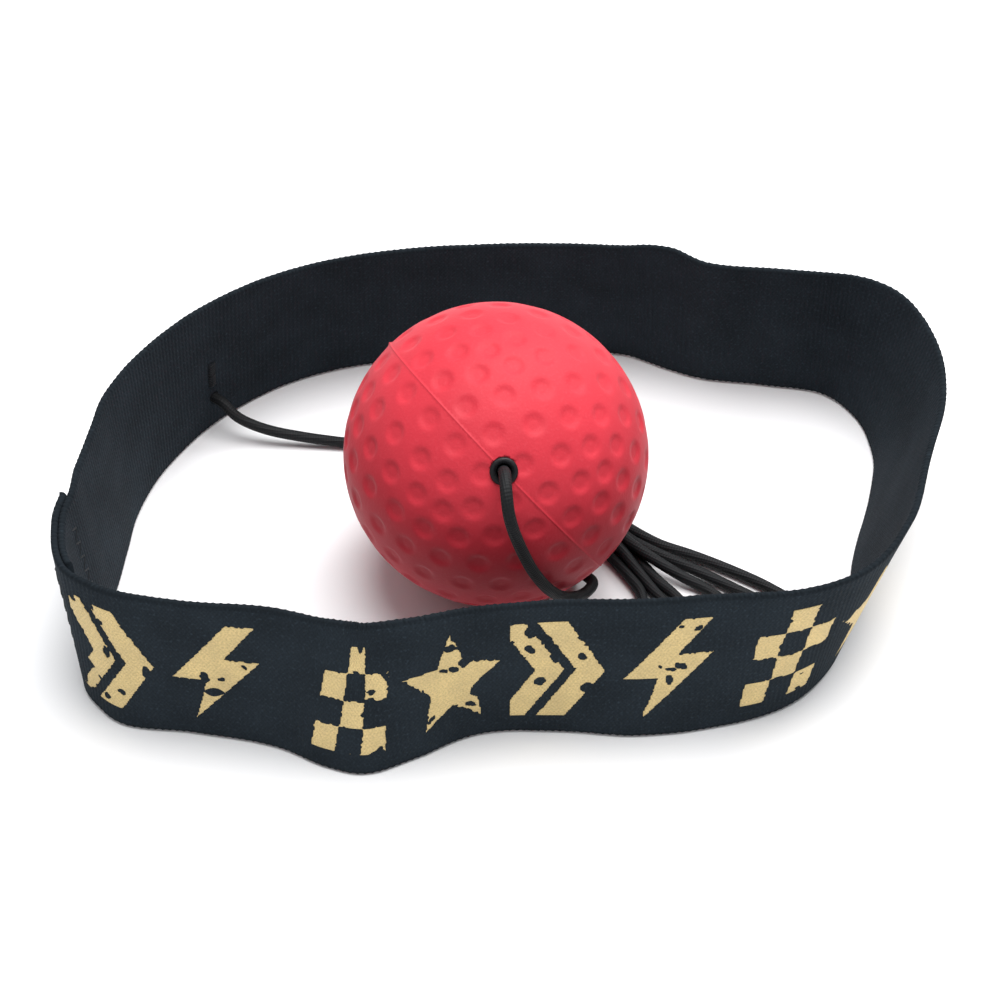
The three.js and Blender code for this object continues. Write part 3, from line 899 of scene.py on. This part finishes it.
class OBJECT_OT_reflex_band(bpy.types.Operator):
    """Adds the elastic band, its print, the lap's stitches and the bartack over the cord's hole"""

    bl_idname = "object.reflex_band"
    bl_label = "Add band"

    def execute(self, context):
        settings = context.scene.reflex_band
        band = Band(settings)
        self.add_strip(band, settings)
        self.add_print(band, settings)
        thread = cord_material("sewing thread", settings.thread_colour, 0.5 * MM, 0.6)
        self.add_seams(band, settings, thread)
        self.add_bartack(band, settings, thread)
        return {"FINISHED"}

    def add_strip(self, band, settings):
        length = band.round + settings.lap
        columns = round(length / STRIP_STEP)
        hole_distance = band.round - ANCHOR_BEFORE_LAP
        heights = [settings.width * (1 - math.cos(math.pi * k / FACE_ROWS)) / 2 for k in range(FACE_ROWS + 1)]

        def place(column, row):
            distance = length * column / columns
            outer = row <= FACE_ROWS
            height = heights[row if outer else 2 * FACE_ROWS - row]
            from_edge = min(height, settings.width - height)
            roundness = math.sqrt(max(0, 1 - (1 - min(1, from_edge / EDGE_RADIUS)) ** 2))
            # the selvedge dips between its loops
            wave = 0.5 - 0.5 * math.cos(2 * math.pi * distance / settings.selvedge_pitch)
            dip = settings.selvedge_depth * wave * max(0, 1 - from_edge / SELVEDGE_REACH)
            dip *= 1 + 0.5 * noise.noise(Vector((distance / (2 * MM), height / MM, 3)))
            height += dip if height < settings.width / 2 else -dip
            outwards = band.side_step(distance) + (1 if outer else -1) * band.face * roundness
            # the knot pulls the elastic in round the hole, the faces are uneven and the outer end is frayed
            from_hole = math.hypot(distance - hole_distance, height - ANCHOR_HEIGHT)
            outwards -= 0.45 * MM * math.exp(-((from_hole / (2.4 * MM)) ** 2))
            outwards += 0.12 * MM * noise.noise(Vector((distance / (9 * MM), height / (9 * MM), 8)))
            frayed = 1 - smoothstep(distance / (1.2 * MM))
            outwards += frayed * (0.12 + 0.3 * noise.noise(Vector((height / (1.5 * MM), 0, 5)))) * MM
            return band.at(distance, height, outwards)

        def mapped(column, row):
            height = heights[row] if row <= FACE_ROWS else 2 * settings.width - heights[2 * FACE_ROWS - row]
            return length * column / columns, height

        bm = laid_grid(columns, 2 * FACE_ROWS, place, mapped)
        close_up(bm)
        strip = new_object("elastic_band", bm, webbing_material(settings.webbing_colour, settings.width))
        hole, out, _, _ = anchor_place(band)
        cut(strip, [drill(hole, out, 1.3 * MM, 8 * MM, 24)])
        shown(strip, "headband", ["headband_strip"])

    def add_print(self, band, settings):
        draw = random.Random(11)
        whole = bmesh.new()
        whole.loops.layers.uv.new("UVMap")
        for group, first in enumerate(FIGURES_FROM):
            for member, (figure, width) in enumerate(FIGURES):
                centre = (first + member * FIGURE_PITCH) * MM
                if settings.lap + width / 2 < centre < band.round - FIGURES_END:
                    seed = (group * len(FIGURES) + member) * SEED_STEP
                    merge_into(whole, printed_figure(band, centre, figure, width, draw, seed))
        bmesh.ops.recalc_face_normals(whole, faces=whole.faces)
        piece = new_object("gold_print", whole, print_material(settings.print_colour))
        shown(piece, "headband")

    def add_seams(self, band, settings, thread):
        rows = [settings.seam_inset, settings.lap - settings.seam_inset]
        for number, distance in enumerate(rows, 1):
            for kind, side in (("needle", 1), ("bobbin", -1)):
                line = stitched_zigzag(band, distance, side)
                bm, _ = tube(line, settings.thread, THREAD_SIDES, ZIGZAG_STEP)
                piece = new_object(f"{kind}_stitches_{number}", bm, thread)
                shown(piece, "headband", [f"lap_{kind}_thread_{number}"])

    def add_bartack(self, band, settings, thread):
        """A bartack is one thread that goes to and fro over its own first stitches."""
        hole, out, along, slope = anchor_place(band)
        surface = band.face + 0.12 * MM
        points = []
        for step in range(BARTACK_PASSES + 1):
            aside = (step % 2 - 0.5) * BARTACK_WIDTH
            for share, stand in BARTACK_BOW:
                if step == BARTACK_PASSES and share:
                    break
                across = aside * (1 - 2 * share)
                rise = BARTACK_FROM + BARTACK_LENGTH * (step + share) / BARTACK_PASSES
                points.append(hole + slope * rise + along * across - out * (surface + stand * MM))
        bm, _ = tube(SmoothLine(points, steps=4), settings.thread, THREAD_SIDES, BARTACK_STEP)
        piece = new_object("bartack_stitches", bm, thread)
        shown(piece, "headband", ["anchor_bartack"])


PARTING_NORMAL = Vector((-0.724, -0.442, -0.530)).normalized()  # square to the moulding line's plane
NUB_DIRECTION = Vector((-0.69, 0.49, 0.53)).normalized()  # a speck of flash left on the moulding line
SEAT_DEPTH = 0.45 * MM  # the grommets' flanges are let into the foam by this much
BORE_RADIUS = 1.9 * MM
ROUND_SIDES = 48


def dimple_centres():
    """The middles of the dimples: an icosahedron's faces divided in five, one corner on the line's axis."""
    bm = bmesh.new()
    bmesh.ops.create_icosphere(bm, subdivisions=1, radius=1)
    bmesh.ops.subdivide_edges(bm, edges=bm.edges, cuts=4, use_grid_fill=True)
    corner = max(bm.verts, key=lambda vert: len(vert.link_edges) == 5)
    turn = corner.co.normalized().rotation_difference(PARTING_NORMAL).to_matrix()
    centres = [turn @ vert.co.normalized() for vert in bm.verts]
    bm.free()
    return centres


class OBJECT_OT_reflex_ball(bpy.types.Operator):
    """Adds the dimpled foam ball and its two grommets"""

    bl_idname = "object.reflex_ball"
    bl_label = "Add ball"

    def execute(self, context):
        settings = context.scene.reflex_ball
        self.add_foam(settings)
        self.add_grommets(settings)
        return {"FINISHED"}

    def add_foam(self, settings):
        bm = bmesh.new()
        bmesh.ops.create_icosphere(bm, subdivisions=7, radius=BALL_RADIUS)
        half = settings.ridge_width / 2
        for offset in (-half, -half / 2, 0, half / 2, half):
            bmesh.ops.bisect_plane(
                bm, geom=bm.verts[:] + bm.edges[:] + bm.faces[:], dist=1e-6,
                plane_co=PARTING_NORMAL * offset, plane_no=PARTING_NORMAL,
            )
        centres = dimple_centres()
        tree = kdtree.KDTree(len(centres))
        for index, centre in enumerate(centres):
            tree.insert(centre * BALL_RADIUS, index)
        tree.balance()
        reach = settings.dimple_width / 2
        for vert in bm.verts:
            way = vert.co.normalized()
            _, _, away = tree.find(way * BALL_RADIUS)
            stand = 0.0
            if away < reach:
                stand -= settings.dimple_depth * (1 - smoothstep((away / reach - 0.45) / 0.55))
            from_line = abs(way.dot(PARTING_NORMAL)) * BALL_RADIUS
            stand *= smoothstep(from_line / (1.1 * MM))
            stand += settings.ridge_height * max(0, 1 - from_line / half)
            from_nub = (way - NUB_DIRECTION).length * BALL_RADIUS
            stand += 0.4 * MM * math.exp(-((from_nub / (0.55 * MM)) ** 2))
            vert.co = BALL_CENTRE + way * (BALL_RADIUS + stand)
        bmesh.ops.recalc_face_normals(bm, faces=bm.faces)
        ball = new_object("dimpled_foam_ball", bm, foam_material(settings.colour))
        seat_radius, deep = settings.grommet_radius + 0.06 * MM, 8 * MM
        to_seat = BORE * (BALL_RADIUS - SEAT_DEPTH + deep / 2)
        drills = [drill(BALL_CENTRE, BORE, BORE_RADIUS, 80 * MM, ROUND_SIDES)]
        for middle in (BALL_CENTRE + to_seat, BALL_CENTRE - to_seat):
            drills.append(drill(middle, BORE, seat_radius, deep, ROUND_SIDES))
        cut(ball, drills)
        shown(ball, "ball", ["foam_ball"])

    def add_grommets(self, settings):
        rubber = rubber_material(settings.grommet_colour)
        seat = BALL_RADIUS - SEAT_DEPTH
        foot = seat - 6 * MM
        inner, shank, flange = 1.5 * MM, 1.85 * MM, settings.grommet_radius
        profile = rounded_profile(
            [(inner, foot), (shank, foot), (shank, seat), (flange, seat),
             (flange, seat + 0.95 * MM), (2.15 * MM, seat + 1.15 * MM), (inner, seat + 0.75 * MM)],
            0.32 * MM,
        )
        for name, way in (("front", BORE), ("rear", -BORE)):
            place = Matrix.Translation(BALL_CENTRE) @ turn_from_up(way)
            bm = turned(profile, place, ROUND_SIDES)
            piece = new_object(f"{name}_rubber_grommet", bm, rubber)
            shown(piece, "ball", [f"{name}_grommet"])


CAMERA_LENS, CAMERA_SENSOR = 78.38, 36  # millimetres
CAMERA_PLACE = Vector((0.96, -341.23, 348.39)) * MM  # from the contact point
CAMERA_TILT = math.radians(46)
FLOOR_HALF = 6
FLOOR_DROP = 0.0002  # keeps the floor just under what lies on it


class OBJECT_OT_reflex_stage(bpy.types.Operator):
    """Adds the camera, the floor and the lights"""

    bl_idname = "object.reflex_stage"
    bl_label = "Add stage"

    def execute(self, context):
        settings = context.scene.reflex_stage
        scene = context.scene
        scene.view_settings.view_transform = "Standard"
        camera = bpy.data.objects.new("camera", bpy.data.cameras.new("camera"))
        camera.data.lens = CAMERA_LENS
        camera.data.sensor_width = CAMERA_SENSOR
        camera.data.clip_start = 0.01
        camera.location = CONTACT + CAMERA_PLACE
        camera.rotation_euler = (CAMERA_TILT, 0, 0)
        scene.collection.objects.link(camera)
        scene.camera = camera

        bm = bmesh.new()
        bmesh.ops.create_grid(bm, x_segments=1, y_segments=1, size=FLOOR_HALF)
        floor, nodes, shader, source = start_material("floor", "Object")
        mottle = put_group(nodes, "Mottle", source, blotch_size=0.3, speck_size=0.001)
        colour = settings.floor_colour
        pale = nodes.blend(mottle["Blotch"], rgba(colour, 0.99), rgba(colour, 1.01))
        set_shader(nodes, shader, pale, 0.75, specular_ior_level=0.15)
        ground = new_object("floor", bm, floor, smooth=False)
        ground.data.transform(Matrix.Translation((0, 0, -FLOOR_DROP)))

        for name, power, size, place in (
            ("key_light", settings.key_power, 0.9, (0.08, 0.12, 1.1)),
            ("side_light", settings.side_power, 0.5, (0.55, 0.55, 0.7)),
        ):
            light = bpy.data.objects.new(name, bpy.data.lights.new(name, "AREA"))
            light.data.shape = "DISK"
            light.data.size = size
            light.data.energy = power
            light.location = place
            light.rotation_euler = (-Vector(place)).to_track_quat("-Z", "Y").to_euler()
            scene.collection.objects.link(light)
        world = bpy.data.worlds.new("studio")
        world.use_nodes = True
        background = world.node_tree.nodes["Background"]
        background.inputs["Color"].default_value = (0.97, 0.985, 1, 1)
        background.inputs["Strength"].default_value = settings.surround
        scene.world = world
        return {"FINISHED"}


class VIEW3D_PT_reflex_ball(bpy.types.Panel):
    """Lists the tools that build the reflex ball headband"""

    bl_idname = "VIEW3D_PT_reflex_ball"
    bl_label = "Reflex ball headband"
    bl_space_type = "VIEW_3D"
    bl_region_type = "UI"
    bl_category = "Reflex ball"

    def draw(self, context):
        layout = self.layout
        for name, operator in GROUPS:
            box = layout.box()
            settings = getattr(context.scene, name)
            for key in settings.__annotations__:
                box.prop(settings, key)
            box.operator(operator.bl_idname)


SETTINGS = {
    "reflex_stage": StageSettings, "reflex_cord": CordSettings, "reflex_band": BandSettings,
    "reflex_ball": BallSettings,
}
GROUPS = [
    ("reflex_stage", OBJECT_OT_reflex_stage), ("reflex_cord", OBJECT_OT_reflex_cord),
    ("reflex_band", OBJECT_OT_reflex_band), ("reflex_ball", OBJECT_OT_reflex_ball),
]
CLASSES = [*SETTINGS.values(), *(operator for _, operator in GROUPS), VIEW3D_PT_reflex_ball]


def register():
    for cls in CLASSES:
        bpy.utils.register_class(cls)
    for name, cls in SETTINGS.items():
        setattr(bpy.types.Scene, name, bpy.props.PointerProperty(type=cls))


def unregister():
    for name in SETTINGS:
        delattr(bpy.types.Scene, name)
    for cls in reversed(CLASSES):
        bpy.utils.unregister_class(cls)


def main():
    register()
    bpy.ops.object.reflex_stage()
    bpy.ops.object.reflex_cord()
    bpy.ops.object.reflex_band()
    bpy.ops.object.reflex_ball()


if __name__ == "__main__":
    main()
